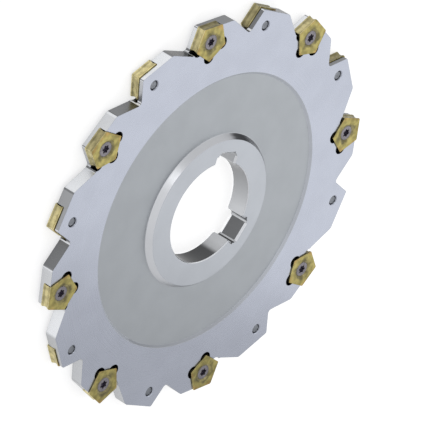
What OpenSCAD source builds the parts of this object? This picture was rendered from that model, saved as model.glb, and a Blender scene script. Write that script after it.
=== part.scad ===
// Side and face milling cutter: a disc with a keyed bore and a toothed rim.
// The teeth carry pentagonal inserts, screwed flat on the front and the rear face in turn.
// The axis is Z and the middle of the width is Z = 0. One front tooth and the first keyway lie on +Y.

/* [Cutter] */
// Diameter over the cutting corners
cutter_d = 160; // [150:1:200]
// Width of cut, over the inserts of both faces
cut_w = 6; // [5.6:0.1:7]
// Number of teeth, half of them on each face
teeth = 16; // [12:2:18]

/* [Rim] */
// Thickness of the toothed rim
rim_w = 5; // [4.4:0.1:5.6]
// Depth of the gullets below the cutting circle
gullet_h = 9; // [8:0.1:10]
// Radius at the bottom of a gullet
gullet_r = 1.5; // [0.5:0.1:2]
// Length of the land behind an insert
land_l = 6.5; // [4:0.1:8]
// Setback of the land below the insert's outer edge
land_setback = 0.4; // [0.1:0.1:1]
// Setback of a tooth's leading side behind the insert's leading face
lead_setback = 0.3; // [0.1:0.1:1]
// Radius of a tooth's tip, under the insert's leading corner
tip_r = 0.8; // [0.2:0.1:1.2]
// Radius of the heel at the end of the land
heel_r = 2.2; // [0.2:0.1:3]

/* [Web] */
// Diameter of the recess in each face
recess_d = 110; // [90:1:116]
// Depth of the recess in each face
recess_h = 0.8; // [0.3:0.1:1.2]

/* [Hub] */
// Diameter of the hub
hub_d = 60; // [52:1:80]
// Length of the hub along the axis
hub_w = 8; // [6:0.1:12]
// Bevel round the hub's outer edges
hub_bevel = 0.8; // [0.2:0.1:1.2]
// Fillet between the hub and the web
hub_fillet = 1; // [0.2:0.1:1.5]

/* [Bore] */
// Diameter of the bore
bore_d = 40; // [32:1:44]
// Bevel at the ends of the bore
bore_bevel = 0.3; // [0.2:0.1:1.2]
// Width of the keyway
key_w = 10; // [6:0.5:14]
// Height from the far side of the bore to the keyway's floor
key_t = 43.5; // [42:0.1:45]
// Radius in the corners of the keyway's floor
key_r = 1.2; // [0.3:0.1:2]
// Bevel at the ends of the keyway
key_bevel = 0.75; // [0.25:0.1:0.95]
// Teeth from the first keyway to the second: an odd number staggers two cutters on one arbor
key_step = 5; // [3:2:7]

/* [Inserts] */
// Diameter of the circle inscribed in an insert
insert_ic = 12.4; // [11:0.1:13.5]
// Thickness of an insert
insert_t = 3.6; // [3.2:0.1:4]
// Angle by which an insert leans back, so that its leading corner cuts
insert_lean = 8.5; // [4:0.5:12]
// Corner radius of an insert
insert_r = 0.6; // [0.2:0.1:1.2]
// Depth of the chip groove along each side of an insert
groove_h = 0.45; // [0.2:0.05:0.7]
// Land left along each edge of an insert, beside the groove
groove_land = 0.4; // [0.2:0.05:0.8]
// Radius of the relief milled in the corners of a pocket
relief_r = 2.5; // [2:0.1:3]
// Distance of the relief's centre from the insert's corner
relief_in = 1.5; // [1:0.1:1.8]
// Distance by which a pocket's open ends run past the insert
pocket_run = 4; // [3:0.1:5]

/* [Screws] */
// Diameter of a screw's shank
screw_d = 3.5; // [3:0.1:4.2]
// Diameter of a screw's head
head_d = 5.6; // [5:0.1:6.2]
// Full angle of the head's cone
head_angle = 60; // [50:1:80]
// Height of the cylindrical edge of the head
head_edge = 0.2; // [0.1:0.05:0.4]
// Depth of the head below the insert's face
head_sink = 0.4; // [0.1:0.05:0.8]
// Diameter of the countersink at the insert's face
mouth_d = 7.2; // [6.6:0.1:8]
// Diameter over the lobes of the drive socket
socket_d = 3.3; // [2.4:0.1:3.8]
// Depth of the drive socket
socket_h = 1.3; // [0.6:0.1:1.6]
// Bevel at a screw's end
end_bevel = 0.3; // [0.1:0.05:0.5]
// Depth of a screw's end below the opposite face
end_sink = 0.5; // [0.1:0.1:0.8]
// Bevel at the mouth of a tapped hole
hole_bevel = 0.3; // [0.1:0.05:0.5]

/* [Fits] */
// Gap between a screw and its seat and thread
screw_gap = 0.05; // [0.02:0.01:0.1]
// Gap between a screw's shank and the insert's hole
shank_gap = 0.2; // [0.1:0.05:0.3]

/* [Hidden] */
$fn = 96;
sides = 5;
arc_steps = 6;
over = 1;
pitch = 360 / teeth;
face_teeth = teeth / 2;

FRONT_NODES = [for (i = [1 : face_teeth]) str("front_insert_", i)];
REAR_NODES = [for (i = [1 : face_teeth]) str("rear_insert_", i)];

body_color = [0.74, 0.75, 0.79];
insert_color = [0.76, 0.65, 0.3];
screw_color = [0.45, 0.42, 0.5];

// A tooth is drawn with its insert's centre on +Y. Its leading side is -X.
// Corner 0 of the insert leads and cuts, and the corners follow clockwise.
half_corner = 90 - 180 / sides;
corner_reach = insert_ic / 2 / sin(half_corner);
function corner_angle(k) = 90 + 180 / sides - insert_lean - k * 360 / sides;
function side_angle(k) = corner_angle(k) - 180 / sides;
function polar(r, a) = r * [cos(a), sin(a)];
function corner(k) = polar(corner_reach, corner_angle(k));
function unit(v) = v / norm(v);
function turn(p, a) = [p.x * cos(a) - p.y * sin(a), p.x * sin(a) + p.y * cos(a)];

// Points of an arc of radius r that rounds corner b between a and c
function rounded(a, b, c, r) =
    let (u = unit(a - b), v = unit(c - b))
    let (half = acos(u * v) / 2, centre = b + unit(u + v) * r / sin(half))
    let (first = b + u * r / tan(half) - centre)
    let (side = sign(first.x * (b - centre).y - first.y * (b - centre).x))
    [for (i = [0 : arc_steps]) centre + turn(first, side * (180 - 2 * half) * i / arc_steps)];

// The insert's centre, from its leading corner on the cutting circle
arc_centre = corner_reach - insert_r / sin(half_corner);
lead_arc = polar(arc_centre, corner_angle(0));
seat_r = sqrt(pow(cutter_d / 2 - insert_r, 2) - pow(lead_arc.x, 2)) - lead_arc.y;
seat = [0, seat_r];

// Heights above the middle of the width, for a front insert
face_z = cut_w / 2;
floor_z = face_z - insert_t;
head_z = face_z - head_sink;
rim_z = rim_w / 2;
hub_z = hub_w / 2;
end_z = end_sink - rim_z;

// Tooth outline: the leading side and the land lie inside the insert's own sides
lead_n = polar(1, side_angle(-1));
land_n = polar(1, side_angle(0));
lead_d = seat * lead_n + insert_ic / 2 - lead_setback;
land_d = seat * land_n + insert_ic / 2 - land_setback;
lead_along = turn(lead_n, -90);
land_along = turn(land_n, -90);
// Where two lines meet, each given by its unit normal and its distance from the axis
function meet(n, d, m, e) = [d * m.y - e * n.y, e * n.x - d * m.x] / (n.x * m.y - n.y * m.x);
tooth_tip = meet(lead_n, lead_d, land_n, land_d);
heel = land_d * land_n + ((seat + corner(1)) * land_along + land_l) * land_along;
root_r = cutter_d / 2 - gullet_h;
root = lead_d * lead_n + sqrt(pow(root_r, 2) - pow(lead_d, 2)) * lead_along;
last_heel = turn(heel, pitch);
next_root = turn(root, -pitch);

tooth_points = concat(
    rounded(last_heel, root, tooth_tip, gullet_r),
    rounded(root, tooth_tip, heel, tip_r),
    rounded(tooth_tip, heel, next_root, heel_r)
);
rim_points = [for (i = [0 : teeth - 1]) for (p = tooth_points) turn(p, -i * pitch)];

insert_points = [for (k = [0 : sides - 1])
    each rounded(corner(k - 1), corner(k), corner(k + 1), insert_r)];

// Pocket outline about the insert's centre: walls on sides 1 to 3, open past the other two
pocket_points = [
    corner(0) + pocket_run * unit(corner(0)),
    corner(1) + pocket_run * unit(corner(1) - corner(2)),
    corner(2),
    corner(3),
    corner(4) + pocket_run * unit(corner(4) - corner(3))
];

// The points of a half section mirrored to the other face
function flipped(points) = [for (i = [1 : len(points)]) let (p = points[len(points) - i]) [p.x, -p.y]];

// Half section of the front recess, with a bevelled outer wall
web_z = rim_z - recess_h;
recess_points = [
    [0, web_z],
    [recess_d / 2 - recess_h, web_z],
    [recess_d / 2 + over, rim_z + over],
    [0, rim_z + over]
];

// Half section of the hub, from the foot of its fillet on the web
hub_r = hub_d / 2;
fillet_r = min(hub_fillet, hub_z - hub_bevel - web_z);
upper_hub = concat(
    rounded([recess_d / 2, web_z], [hub_r, web_z], [hub_r, hub_z], fillet_r),
    [[hub_r, hub_z - hub_bevel], [hub_r - hub_bevel, hub_z], [0, hub_z]]
);
hub_points = concat(flipped(upper_hub), upper_hub);

key_floor = key_t - bore_d / 2;
key_points = concat(
    [[key_w / 2, 0]],
    rounded([key_w / 2, 0], [key_w / 2, key_floor], [0, key_floor], key_r),
    rounded([0, key_floor], [-key_w / 2, key_floor], [-key_w / 2, 0], key_r),
    [[-key_w / 2, 0]]
);

// Radius and height of the points of a screw, up from its end
head_tan = tan(head_angle / 2);
cone_z = head_z - head_edge;
screw_points = [
    [0, end_z],
    [screw_d / 2 - end_bevel, end_z],
    [screw_d / 2, end_z + end_bevel],
    [screw_d / 2, cone_z - (head_d - screw_d) / 2 / head_tan],
    [head_d / 2, cone_z],
    [head_d / 2, head_z],
    [0, head_z]
];

// Tapped hole in the body, drawn at the screw's diameter
tap_r = screw_d / 2 + screw_gap;

// The hole in an insert keeps the screw's cone, one gap larger, and flares above the head
hole_r = screw_d / 2 + shank_gap;
cone_r = head_d / 2 + screw_gap;
hole_points = [
    [0, floor_z - over],
    [hole_r, floor_z - over],
    [hole_r, cone_z - (cone_r - hole_r) / head_tan],
    [cone_r, cone_z],
    [cone_r, head_z],
    [mouth_d / 2, face_z],
    [mouth_d / 2, face_z + over],
    [0, face_z + over]
];

// Puts a shape drawn about an insert's centre at tooth i. On every other tooth it is turned over
// to the rear face, about the line through the insert's leading corner.
module at_tooth(i) {
    rotate(-i * pitch) translate(seat) rotate(i % 2 * 180, [corner(0).x, corner(0).y, 0]) children();
}

module rim() {
    linear_extrude(rim_w, center = true) polygon(rim_points);
}

module recess() {
    rotate_extrude() polygon(recess_points);
    rotate_extrude() polygon(flipped(recess_points));
}

module hub() {
    rotate_extrude() polygon(hub_points);
}

module bore() {
    cylinder(d = bore_d, h = hub_w + 2 * over, center = true);
    for (turned = [0, 180])
        rotate([turned, 0, 0]) translate([0, 0, hub_z - bore_bevel])
            cylinder(r1 = bore_d / 2, r2 = bore_d / 2 + bore_bevel + over, h = bore_bevel + over);
}

// Bar with a square section standing on its edge, which bevels an edge that runs along X
module bevel_bar(length) {
    rotate([45, 0, 0]) cube([length, key_bevel * sqrt(2), key_bevel * sqrt(2)], center = true);
}

module keyway() {
    linear_extrude(hub_w + 2 * over, center = true) polygon(key_points);
    for (z = [-hub_z, hub_z]) {
        translate([0, key_floor, z]) bevel_bar(key_w - 2 * key_r);
        for (x = [-key_w / 2, key_w / 2])
            translate([x, (key_floor - key_r) / 2, z]) rotate(90) bevel_bar(key_floor - key_r);
    }
}

// Seat of one insert, with relieved corners from the given one on and a tapped hole
module pocket(first) {
    translate([0, 0, floor_z]) {
        linear_extrude(rim_w) polygon(pocket_points);
        for (k = [first : first + 2])
            translate(polar(corner_reach - relief_in, corner_angle(k)))
                cylinder(r = relief_r, h = rim_w);
    }
    cylinder(r = tap_r, h = rim_w + 2 * over, center = true);
    translate([0, 0, -rim_z - over])
        cylinder(r1 = tap_r + hole_bevel + over, r2 = tap_r, h = hole_bevel + over);
}

module cutter_body() {
    color(body_color) difference() {
        union() {
            difference() {
                rim();
                recess();
            }
            hub();
        }
        bore();
        for (step = [0, key_step]) rotate(step * pitch) keyway();
        // Turned over, corner 1 of a rear pocket takes the place of corner 4
        for (i = [0 : teeth - 1]) at_tooth(i) pocket(2 - i % 2);
    }
}

// Concave chip groove along side k of an insert
module chip_groove(k) {
    chord = insert_t - 2 * groove_land;
    groove_r = (pow(chord / 2, 2) + pow(groove_h, 2)) / 2 / groove_h;
    translate(polar(insert_ic / 2 - groove_h + groove_r, side_angle(k)))
        rotate([90, 0, side_angle(k)])
            cylinder(r = groove_r, h = 2 * corner_reach, center = true);
}

module insert() {
    color(insert_color) difference() {
        translate([0, 0, floor_z]) linear_extrude(insert_t) polygon(insert_points);
        translate([0, 0, floor_z + insert_t / 2])
            for (k = [0 : sides - 1]) chip_groove(k);
        rotate_extrude() polygon(hole_points);
    }
}

// Six-lobed drive socket, its floor at Z = 0
module socket() {
    lobes = 6;
    lobe_r = socket_d / 8;
    core_r = socket_d / 2 - lobe_r;
    cylinder(r = core_r, h = socket_h + over);
    for (i = [0 : lobes - 1])
        translate(polar(core_r, i * 360 / lobes)) cylinder(r = lobe_r, h = socket_h + over);
}

module insert_screw() {
    difference() {
        rotate_extrude() polygon(screw_points);
        translate([0, 0, head_z - socket_h]) socket();
    }
}

module insert_screws() {
    color(screw_color) for (i = [0 : teeth - 1]) at_tooth(i) insert_screw();
}

cutter_body();
insert_screws();
for (i = [0 : face_teeth - 1]) {
    at_tooth(2 * i) insert();
    at_tooth(2 * i + 1) insert();
}
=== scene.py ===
import math
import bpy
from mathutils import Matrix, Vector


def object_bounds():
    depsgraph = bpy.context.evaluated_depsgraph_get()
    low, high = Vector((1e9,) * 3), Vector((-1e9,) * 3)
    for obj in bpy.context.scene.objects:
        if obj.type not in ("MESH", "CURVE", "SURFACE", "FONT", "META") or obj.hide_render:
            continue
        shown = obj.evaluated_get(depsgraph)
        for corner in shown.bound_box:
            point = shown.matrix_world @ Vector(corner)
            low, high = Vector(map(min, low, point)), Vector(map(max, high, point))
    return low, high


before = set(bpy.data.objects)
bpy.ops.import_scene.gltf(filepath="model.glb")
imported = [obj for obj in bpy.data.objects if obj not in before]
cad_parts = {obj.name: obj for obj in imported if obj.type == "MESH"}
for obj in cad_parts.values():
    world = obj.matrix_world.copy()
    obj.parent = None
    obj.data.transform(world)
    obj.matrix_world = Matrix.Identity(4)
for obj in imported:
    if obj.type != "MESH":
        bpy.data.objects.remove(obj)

from types import SimpleNamespace

import bpy
from mathutils import Matrix, Vector

# Sizes in metres, in the cutter's own frame: the axis is Z and the front face looks along +Z
MM = 0.001
CAD_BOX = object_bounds()
FLOOR_Z = CAD_BOX[0].z
BORE_R = 20 * MM
KEYWAY_R = 24.5 * MM
HUB_R = 30 * MM
HUB_BEVEL = 0.8 * MM
HUB_FOOT = 1 * MM
RECESS_R = 55 * MM
SEAT_R = 73.1 * MM
HOLE_R = 2.5 * MM
SCREW_END_Z = 2 * MM
SCREW_END_REACH = 0.35 * MM
INSERTS = sorted(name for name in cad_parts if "_insert_" in name)
PITCH = 2 * math.pi / len(INSERTS)

# Camera, fitted to the photograph: it looks down on the front face from the -Y side, rolled over
PHOTO_SIDE_PX = 430
FOCAL_PX = 4856
SENSOR_MM = 36.0
CAMERA_DISTANCE = 1.7606
CAMERA_AZIMUTH = math.radians(0.49)
CAMERA_ELEVATION = math.radians(34.52)
CAMERA_ROLL = math.radians(120.58)
AIM_HEIGHT = 2.5 * MM
AIM_RIGHT = 2.91 * MM
AIM_DOWN = 1.38 * MM

# Light: a pale room with a dark flag, a near softbox that the flat faces mirror, and one for the bevels.
# FLAG_RIM has the cosines from the flag's middle where the flag starts and where it is full
WHITE = (1.0, 1.0, 1.0)
ROOM_COLOR = (0.62, 0.62, 0.63)
FLAG_COLOR = (0.02, 0.02, 0.03)
FLAG_PLACE = (-0.7, 0.7, 0.14)
FLAG_RIM = (0.94, 0.98)
SOFTBOX = {"place": (-0.081, 0.1385, 0.1515), "side": 0.27, "watts": 0.095}
BEVEL_LIGHT = {"place": (-0.21, -0.545, 0.81), "side": 0.18, "watts": 0.15}
FLOOR_SIDE = 12.0
FLOOR_COLOR = (0.55, 0.55, 0.55)
FLOOR_ROUGHNESS = 0.9
FLOOR_GLOW = 0.7

# Linear colours of the steel body, the gold inserts and the screws
RING_COLOR = (0.53, 0.56, 0.64)
RECESS_COLOR = (0.465, 0.49, 0.513)
# The recess's edge, lighter than the recess and times greys by facing: painted reflections and shade
RECESS_EDGE_PAINTED_COLOR = (0.67, 0.7, 0.75)
HUB_COLOR = (0.505, 0.53, 0.566)
WALL_TINT = (0.95, 0.97, 1.0)
# Near white on the bevels round the bore and keyways, brighter than the steel: a painted highlight
BEVEL_PAINTED_HIGHLIGHT = (0.95, 0.95, 0.95)
# One grey for the second keyway's walls and floor: a painted reflection level
SECOND_KEYWAY_PAINTED_REFLECTION = (0.42, 0.42, 0.42)
GOLD_COLOR = (0.44, 0.38, 0.135)
# Paler gold for the inserts' sides, times greys by facing: painted reflections and shade
GOLD_SIDE_PAINTED_COLOR = (0.68, 0.6, 0.315)
ORANGE_COLOR = (0.46, 0.325, 0.115)
OLIVE_COLOR = (0.2, 0.177, 0.085)
SCREW_COLOR = (0.27, 0.255, 0.275)
SCREW_END_COLOR = (0.26, 0.275, 0.3)
# Darker, bluer colour where the screw's socket is sheltered: painted shade
SOCKET_PAINTED_SHADE_COLOR = (0.2, 0.18, 0.26)

# Painted reflections and shade, as greys by facing in degrees from +X: walls, bore, hub, recess's edge,
# gold sides
WALL_PAINTED_REFLECTIONS = [
    (-180, 0.3), (-165, 0.085), (-152, 0.11), (-147, 0.22), (-139, 0.22), (-128, 0.14), (-121, 0.8),
    (-99, 0.7), (-95, 0.18), (-77, 0.23), (-72, 0.8), (-45, 0.5), (-8, 0.42), (-3, 0.2),
    (45, 0.6), (90, 0.2), (135, 0.6), (180, 0.3),
]
BORE_PAINTED_REFLECTIONS = [
    (-180, 0.5), (-165, 0.06), (-126, 0.085), (-121, 0.42), (-112, 0.5), (-96, 0.5), (-93, 0.16),
    (-87, 0.16), (-84, 0.62), (-68, 0.6), (-50, 0.46), (-20, 0.26), (-8, 0.3), (0, 0.5), (180, 0.5),
]
# The hub's side: a painted highlight about -90 degrees and a painted dark streak about -170 degrees
HUB_SIDE_PAINTED_REFLECTIONS = [
    (-180, 0.4), (-172, 0.18), (-162, 0.18), (-156, 0.8), (-115, 0.82), (-90, 1.0), (-70, 0.95),
    (0, 0.8), (22, 0.55), (150, 0.5), (180, 0.4),
]
RECESS_EDGE_PAINTED_REFLECTIONS = [
    (-180, 0.8), (-168, 0.73), (-156, 0.64), (-132, 0.68), (-108, 0.87), (-84, 0.98), (180, 0.98),
]
GOLD_SIDE_PAINTED_REFLECTIONS = [
    (-180, 0.32), (-143, 0.32), (-130, 0.5), (-121, 1.0), (-116, 0.7), (-98, 0.62), (-92, 0.45),
    (-76, 0.85), (-28, 0.85), (0, 1.0), (60, 0.6), (120, 0.9), (180, 0.32),
]

# Borders between finishes: widths, and slopes (1 is level) where a finish starts and where it is full
BORDER = 0.2 * MM
HOLE_BORDER = 0.3 * MM
MARGIN = 0.1 * MM
TILTED = (0.97, 0.85)
FLARED = (0.999, 0.97)
UPRIGHT = (0.5, 0.2)
GOLD_SIDE = (0.95, 0.8)
SCREW_END_SLOPE = 0.5

# Distance from an insert's screw where a colour of the gold starts and where it is full
OLIVE_SPAN = (5 * MM, 3 * MM)
ORANGE_SPAN = (6 * MM, 7.6 * MM)

# Roughness of the steel, and how far its grain varies it
RING_ROUGHNESS = 0.28
RECESS_ROUGHNESS = 0.48
HUB_ROUGHNESS = 0.3
ROUGHNESS_GRAIN = 0.015

# Patches that vary a surface from low to high, in patches per metre. Raw noise lies mostly in NOISE_SPAN
NOISE_SPAN = (0.3, 0.7)
STEEL_MOTTLE = {"scale": 90, "low": 0.975, "high": 1.025, "detail": 3.0}
GOLD_DRIFT = {"scale": 260, "low": -1.2 * MM, "high": 1.2 * MM, "detail": 3.0}
GOLD_MOTTLE = {"scale": 420, "low": 0.7, "high": 1.2, "detail": 3.0}
GOLD_ROUGHNESS = {"scale": 1200, "low": 0.28, "high": 0.42}
SCREW_MOTTLE = {"scale": 900, "low": 0.85, "high": 1.15, "detail": 3.0}
SCREW_ROUGHNESS = {"scale": 1500, "low": 0.35, "high": 0.5}

# Fine grain, in grains per metre and metres of depth. LATHE_SWEEP is the length that a radian about the
# axis counts as, so short that the grain is drawn out into rings
LATHE_SCALE = 2500
LATHE_SWEEP = 1 * MM
BLAST_SCALE = 3500
BLAST_DEPTH = 0.01 * MM
GOLD_GRAIN_SCALE = 5000
SCREW_GRAIN_SCALE = 6000
GRAIN_DEPTH = 0.02 * MM
GRAIN_STRENGTH = 0.3

# Shade near walls: openness where it is full and where it ends, the reach of a wall and the lowest value
SHELTER_SAMPLES = 8
SHELTER_SPAN = (0.1, 0.8)
STEEL_SHELTER = {"reach": 4 * MM, "low": 0.3}
GOLD_SHELTER = {"reach": 2 * MM, "low": 0.35}
SOCKET_SHELTER = {"reach": 1.5 * MM, "low": 0.0}

# Rounded edges. EDGE_TURN has the cosines from the face where the gold starts to gain light and has it all
EDGE_SAMPLES = 4
EDGE_R = 0.25 * MM
SCREW_EDGE_R = 0.15 * MM
EDGE_TURN = (0.995, 0.9)
EDGE_GAIN = 0.4

# Places of the mix node's sockets, because those for numbers and for colours have the same names
MIX_SHARE = 0
MIX_NUMBER_A = 2
MIX_NUMBER_B = 3
MIX_COLOR_A = 6
MIX_COLOR_B = 7
MIXED_NUMBER = 0
MIXED_COLOR = 2


class Nodes:
    """A node tree, with short calls for the nodes that the materials and the room share."""

    def __init__(self, tree):
        self.tree = tree

    def put(self, value, socket):
        """Links another node's output to a socket, or sets the socket to a number or a colour."""
        if isinstance(value, bpy.types.NodeSocket):
            self.tree.links.new(value, socket)
        elif socket.type == "RGBA":
            socket.default_value = (*value, 1.0)
        else:
            socket.default_value = value

    def add(self, kind, inputs=None, **settings):
        """A node of that kind, with its settings and what goes into its sockets."""
        node = self.tree.nodes.new(kind)
        for key, value in settings.items():
            setattr(node, key, value)
        for key, value in (inputs or {}).items():
            self.put(value, node.inputs[key])
        return node

    def math(self, operation, *values):
        return self.add("ShaderNodeMath", dict(enumerate(values)), operation=operation).outputs[0]

    def product(self, first, *others):
        """Product of numbers: the mask of where all the masks overlap."""
        for other in others:
            first = self.math("MULTIPLY", first, other)
        return first

    def largest(self, first, *others):
        """Largest of numbers: the mask of where any of the masks holds."""
        for other in others:
            first = self.math("MAXIMUM", first, other)
        return first

    def dot(self, a, b):
        return self.add("ShaderNodeVectorMath", {0: a, 1: b}, operation="DOT_PRODUCT").outputs["Value"]

    def step(self, value, start, end, low=0.0, high=1.0):
        """Runs smoothly from low, where value is start, to high, where it is end."""
        sockets = {"Value": value, "From Min": start, "From Max": end, "To Min": low, "To Max": high}
        return self.add("ShaderNodeMapRange", sockets, interpolation_type="SMOOTHSTEP").outputs[0]

    def mix(self, share, a, b, blend="MIX"):
        """Colour or vector a where share is 0, passing into b where it is 1."""
        sockets = {MIX_SHARE: share, MIX_COLOR_A: a, MIX_COLOR_B: b}
        node = self.add("ShaderNodeMix", sockets, data_type="RGBA", blend_type=blend)
        return node.outputs[MIXED_COLOR]

    def between(self, share, a, b):
        """Number a where share is 0, passing into b where it is 1."""
        sockets = {MIX_SHARE: share, MIX_NUMBER_A: a, MIX_NUMBER_B: b}
        return self.add("ShaderNodeMix", sockets, data_type="FLOAT").outputs[MIXED_NUMBER]

    def times(self, color, factor):
        """The colour times another colour or a number's socket."""
        return self.mix(1.0, color, factor, "MULTIPLY")


class Finish(Nodes):
    """A new metal material, with the measures, masks and grains that the finishes share."""

    def __init__(self, name):
        self.material = bpy.data.materials.new(name)
        self.material.use_nodes = True
        super().__init__(self.material.node_tree)
        self.bsdf = self.tree.nodes["Principled BSDF"]
        self.put(1.0, self.bsdf.inputs["Metallic"])
        self.place = self.add("ShaderNodeTexCoord").outputs["Object"]
        self.x, self.y, self.z = self.split(self.place)
        self.radius = self.length(self.x, self.y)
        self.angle = self.math("ARCTAN2", self.y, self.x)
        self.normal = self.add("ShaderNodeNewGeometry").outputs["Normal"]
        normal_x, normal_y, normal_z = self.split(self.normal)
        self.slope = self.math("ABSOLUTE", normal_z)
        self.facing = self.math("ARCTAN2", normal_y, normal_x)

    def split(self, vector):
        return self.add("ShaderNodeSeparateXYZ", {0: vector}).outputs

    def length(self, a, b):
        return self.math("SQRT", self.math("ADD", self.product(a, a), self.product(b, b)))

    def painted_reflection(self, stops):
        """Painted reflection and shade: a grey by the way the surface faces, from stops of degrees and
        grey.
        """
        # The ramp runs once round, from 0 at -180 degrees to 1 at 180 degrees
        turn = self.math("MULTIPLY_ADD", self.facing, 0.5 / math.pi, 0.5)
        ramp = self.add("ShaderNodeValToRGB", {"Fac": turn})
        marks = ramp.color_ramp.elements
        for _ in stops[len(marks):]:
            marks.new(1.0)
        for mark, (degrees, grey) in zip(marks, stops):
            mark.position = degrees / 360 + 0.5
            mark.color = (grey, grey, grey, 1.0)
        return ramp.outputs["Color"]

    def noise(self, scale, detail=2.0, vector=None):
        sockets = {"Vector": vector or self.place, "Scale": scale, "Detail": detail}
        return self.add("ShaderNodeTexNoise", sockets).outputs["Fac"]

    def patches(self, scale, low, high, detail=2.0):
        """Noise that runs from low to high."""
        return self.step(self.noise(scale, detail), *NOISE_SPAN, low, high)

    def turned(self):
        """Fine rings about the axis, as a lathe or a grinding wheel leaves them."""
        swept = self.math("MULTIPLY", self.angle, LATHE_SWEEP)
        rings = self.add("ShaderNodeCombineXYZ", {0: self.radius, 1: swept}).outputs[0]
        return self.noise(LATHE_SCALE, vector=rings)

    def from_screw(self):
        """Distance from the axis of the nearest insert's screw."""
        tooth = self.math("SNAP", self.math("ADD", self.angle, PITCH / 2), PITCH)
        off = self.math("SUBTRACT", self.angle, tooth)
        out = self.math("SUBTRACT", self.product(self.radius, self.math("COSINE", off)), SEAT_R)
        return self.length(out, self.product(self.radius, self.math("SINE", off)))

    def shelter(self, reach, low):
        """1 in the open, falling to low where near walls shut out the light."""
        light = self.add("ShaderNodeAmbientOcclusion", {"Distance": reach}, samples=SHELTER_SAMPLES)
        return self.step(light.outputs["AO"], *SHELTER_SPAN, low, 1.0)

    def rounded(self, edge_r):
        """Normal of the surface with its sharp edges rounded."""
        return self.add("ShaderNodeBevel", {"Radius": edge_r}, samples=EDGE_SAMPLES).outputs["Normal"]

    def flare(self):
        """Normal of a smooth flare round the axis, halfway between the face and the side."""
        out_x = self.math("DIVIDE", self.x, self.radius)
        out_y = self.math("DIVIDE", self.y, self.radius)
        up = self.math("SIGN", self.z)
        lean = self.add("ShaderNodeCombineXYZ", {0: out_x, 1: out_y, 2: up}).outputs[0]
        return self.add("ShaderNodeVectorMath", {0: lean}, operation="NORMALIZE").outputs[0]

    def edge(self, rounded):
        """1 on a rounded edge, 0 on the faces."""
        return self.step(self.dot(rounded, self.normal), *EDGE_TURN)

    def surface(self, grain, depth, rounded):
        """Lays a fine grain on the rounded surface."""
        sockets = {"Height": grain, "Strength": GRAIN_STRENGTH, "Distance": depth, "Normal": rounded}
        self.put(self.add("ShaderNodeBump", sockets).outputs["Normal"], self.bsdf.inputs["Normal"])


def body_zones(f):
    """Masks of the body's regions, 1 inside. The recess holds the hub, and the hub holds the bore."""
    zone = SimpleNamespace()
    zone.recess = f.step(f.radius, RECESS_R + BORDER, RECESS_R)
    zone.hub = f.step(f.radius, HUB_R + HUB_FOOT, HUB_R)
    zone.web = f.math("SUBTRACT", zone.recess, zone.hub)
    zone.bore = f.math("LESS_THAN", f.radius, KEYWAY_R)
    past_bore = f.math("GREATER_THAN", f.radius, BORE_R + BORDER)
    zone.second_keyway = f.product(zone.bore, past_bore, f.math("LESS_THAN", f.y, 0.0))

    past_face = f.math("GREATER_THAN", f.radius, HUB_R - HUB_BEVEL - MARGIN)
    before_web = f.math("LESS_THAN", f.radius, HUB_R + HUB_FOOT + MARGIN)
    zone.hub_side = f.product(past_face, before_web, f.step(f.slope, *FLARED))
    off_hub_side = f.math("SUBTRACT", 1.0, zone.hub_side)
    zone.wall = f.product(f.step(f.slope, *UPRIGHT), off_hub_side)
    tilted = f.step(f.slope, *TILTED)
    zone.bevel = f.product(zone.hub, tilted)
    zone.recess_edge = f.product(zone.web, tilted, off_hub_side)
    return zone


def body_color(f, zone):
    """Ring, recess and hub in their own colours; walls and edges in painted reflections and shade by
    facing.
    """
    faces = f.mix(zone.hub, f.mix(zone.recess, RING_COLOR, RECESS_COLOR), HUB_COLOR)
    faces = f.mix(zone.recess_edge, faces, f.times(f.painted_reflection(RECESS_EDGE_PAINTED_REFLECTIONS), RECESS_EDGE_PAINTED_COLOR))
    bore = f.mix(zone.second_keyway, f.painted_reflection(BORE_PAINTED_REFLECTIONS), SECOND_KEYWAY_PAINTED_REFLECTION)
    walls = f.mix(zone.bore, f.painted_reflection(WALL_PAINTED_REFLECTIONS), bore)
    painted_bevels = f.mix(zone.hub_side, BEVEL_PAINTED_HIGHLIGHT, f.painted_reflection(HUB_SIDE_PAINTED_REFLECTIONS))
    # Walls, bevels and the hub's side take painted reflections and shade in place of the steel's colour
    painted_walls = f.times(f.mix(zone.wall, painted_bevels, walls), WALL_TINT)
    return f.mix(f.largest(zone.wall, zone.bevel, zone.hub_side), faces, painted_walls)


def body_finish():
    """Satin steel: ground ring, blasted recess, turned hub, and milled walls in painted reflections and
    shade.
    """
    f = Finish("satin_steel")
    zone = body_zones(f)
    hole = f.step(f.from_screw(), HOLE_R + HOLE_BORDER, HOLE_R)
    shade = f.largest(f.shelter(**STEEL_SHELTER), zone.recess, hole)
    tone = f.product(shade, f.patches(**STEEL_MOTTLE))
    f.put(f.times(body_color(f, zone), tone), f.bsdf.inputs["Base Color"])

    blasted = f.noise(BLAST_SCALE)
    satin = f.between(zone.hub, f.between(zone.recess, RING_ROUGHNESS, RECESS_ROUGHNESS), HUB_ROUGHNESS)
    grain = f.between(zone.web, f.turned(), blasted)
    uneven = f.step(grain, *NOISE_SPAN, -ROUGHNESS_GRAIN, ROUGHNESS_GRAIN)
    f.put(f.math("ADD", satin, uneven), f.bsdf.inputs["Roughness"])
    f.surface(blasted, BLAST_DEPTH, f.mix(zone.hub_side, f.rounded(EDGE_R), f.flare()))
    return f.material


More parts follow.
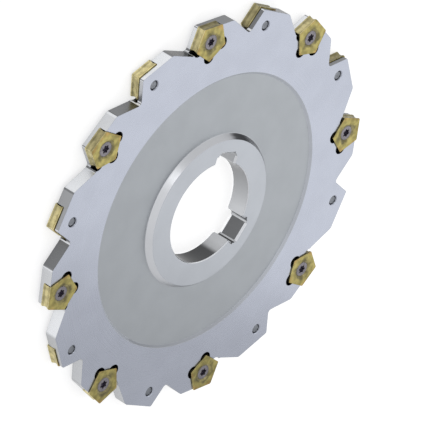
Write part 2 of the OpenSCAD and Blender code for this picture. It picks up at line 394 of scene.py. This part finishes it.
def insert_finish():
    """Gold hard coating: olive round the screw, orange towards the corners, painted reflections on the
    sides.
    """
    f = Finish("gold_coating")
    reach = f.math("ADD", f.from_screw(), f.patches(**GOLD_DRIFT))
    face = f.mix(f.step(reach, *OLIVE_SPAN), GOLD_COLOR, OLIVE_COLOR)
    face = f.mix(f.step(reach, *ORANGE_SPAN), face, ORANGE_COLOR)
    painted_sides = f.times(f.painted_reflection(GOLD_SIDE_PAINTED_REFLECTIONS), GOLD_SIDE_PAINTED_COLOR)
    color = f.mix(f.step(f.slope, *GOLD_SIDE), face, painted_sides)
    rounded = f.rounded(EDGE_R)
    shade = f.product(f.shelter(**GOLD_SHELTER), f.patches(**GOLD_MOTTLE))
    tone = f.math("MULTIPLY_ADD", f.edge(rounded), EDGE_GAIN, shade)
    f.put(f.times(color, tone), f.bsdf.inputs["Base Color"])
    f.put(f.patches(**GOLD_ROUGHNESS), f.bsdf.inputs["Roughness"])
    f.surface(f.noise(GOLD_GRAIN_SCALE), GRAIN_DEPTH, rounded)
    return f.material


def screw_finish():
    """Burnished steel, with painted shade in the socket and a colour of its own at the sunk end."""
    f = Finish("burnished_steel")
    near_end = f.math("COMPARE", f.math("ABSOLUTE", f.z), SCREW_END_Z, SCREW_END_REACH)
    at_end = f.product(near_end, f.math("GREATER_THAN", f.slope, SCREW_END_SLOPE))
    head = f.mix(f.shelter(**SOCKET_SHELTER), SOCKET_PAINTED_SHADE_COLOR, SCREW_COLOR)
    color = f.mix(at_end, head, SCREW_END_COLOR)
    f.put(f.times(color, f.patches(**SCREW_MOTTLE)), f.bsdf.inputs["Base Color"])
    f.put(f.patches(**SCREW_ROUGHNESS), f.bsdf.inputs["Roughness"])
    f.surface(f.noise(SCREW_GRAIN_SCALE), GRAIN_DEPTH, f.rounded(SCREW_EDGE_R))
    return f.material


def dress(names, material):
    """Gives CAD nodes the material in place of their own."""
    for name in names:
        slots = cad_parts[name].data.materials
        slots.clear()
        slots.append(material)


def floor():
    """A pale floor that keeps the cutter's shadow and shows white to the eye and in the metal."""
    bpy.ops.mesh.primitive_plane_add(size=FLOOR_SIDE, location=(0, 0, FLOOR_Z))
    plane = bpy.context.object
    plane.name = "floor"
    material = bpy.data.materials.new("pale_floor")
    material.use_nodes = True
    nodes = Nodes(material.node_tree)
    sockets = material.node_tree.nodes["Principled BSDF"].inputs
    nodes.put(FLOOR_COLOR, sockets["Base Color"])
    nodes.put(FLOOR_ROUGHNESS, sockets["Roughness"])
    nodes.put(0.0, sockets["Specular IOR Level"])
    nodes.put(WHITE, sockets["Emission Color"])
    ray = nodes.add("ShaderNodeLightPath").outputs
    seen = nodes.largest(ray["Is Camera Ray"], ray["Is Glossy Ray"], ray["Is Transmission Ray"])
    nodes.put(nodes.product(seen, FLOOR_GLOW), sockets["Emission Strength"])
    plane.data.materials.append(material)


def room():
    """Pale light from all round, with a dark flag low behind the cutter that its edges mirror."""
    world = bpy.data.worlds.new("room")
    world.use_nodes = True
    nodes = Nodes(world.node_tree)
    way = nodes.add("ShaderNodeTexCoord").outputs["Generated"]
    flag = nodes.step(nodes.dot(way, Vector(FLAG_PLACE).normalized()), *FLAG_RIM)
    color = nodes.mix(flag, ROOM_COLOR, FLAG_COLOR)
    nodes.put(color, world.node_tree.nodes["Background"].inputs["Color"])
    bpy.context.scene.world = world


def softbox(name, place, side, watts):
    """A square soft light at that place, aimed at the cutter."""
    data = bpy.data.lights.new(name, "AREA")
    data.size = side
    data.energy = watts
    lamp = bpy.data.objects.new(name, data)
    lamp.location = place
    lamp.rotation_euler = (-Vector(place)).to_track_quat("-Z", "Y").to_euler()
    bpy.context.scene.collection.objects.link(lamp)


def camera():
    """The photograph's camera."""
    data = bpy.data.cameras.new("camera")
    data.sensor_width = SENSOR_MM
    data.lens = FOCAL_PX / PHOTO_SIDE_PX * SENSOR_MM
    turn = Matrix.Rotation(CAMERA_AZIMUTH, 3, "Z")
    turn = turn @ Matrix.Rotation(math.pi / 2 - CAMERA_ELEVATION, 3, "X")
    turn = turn @ Matrix.Rotation(CAMERA_ROLL, 3, "Z")
    place = Vector((0, 0, AIM_HEIGHT)) + turn @ Vector((AIM_RIGHT, -AIM_DOWN, CAMERA_DISTANCE))
    eye = bpy.data.objects.new("camera", data)
    eye.matrix_world = Matrix.LocRotScale(place, turn.to_quaternion(), None)
    bpy.context.scene.collection.objects.link(eye)
    bpy.context.scene.camera = eye


dress(["cutter_body"], body_finish())
dress(INSERTS, insert_finish())
dress(["insert_screws"], screw_finish())
floor()
room()
softbox("softbox", **SOFTBOX)
softbox("bevel_light", **BEVEL_LIGHT)
camera()
bpy.context.scene.view_settings.view_transform = "Standard"
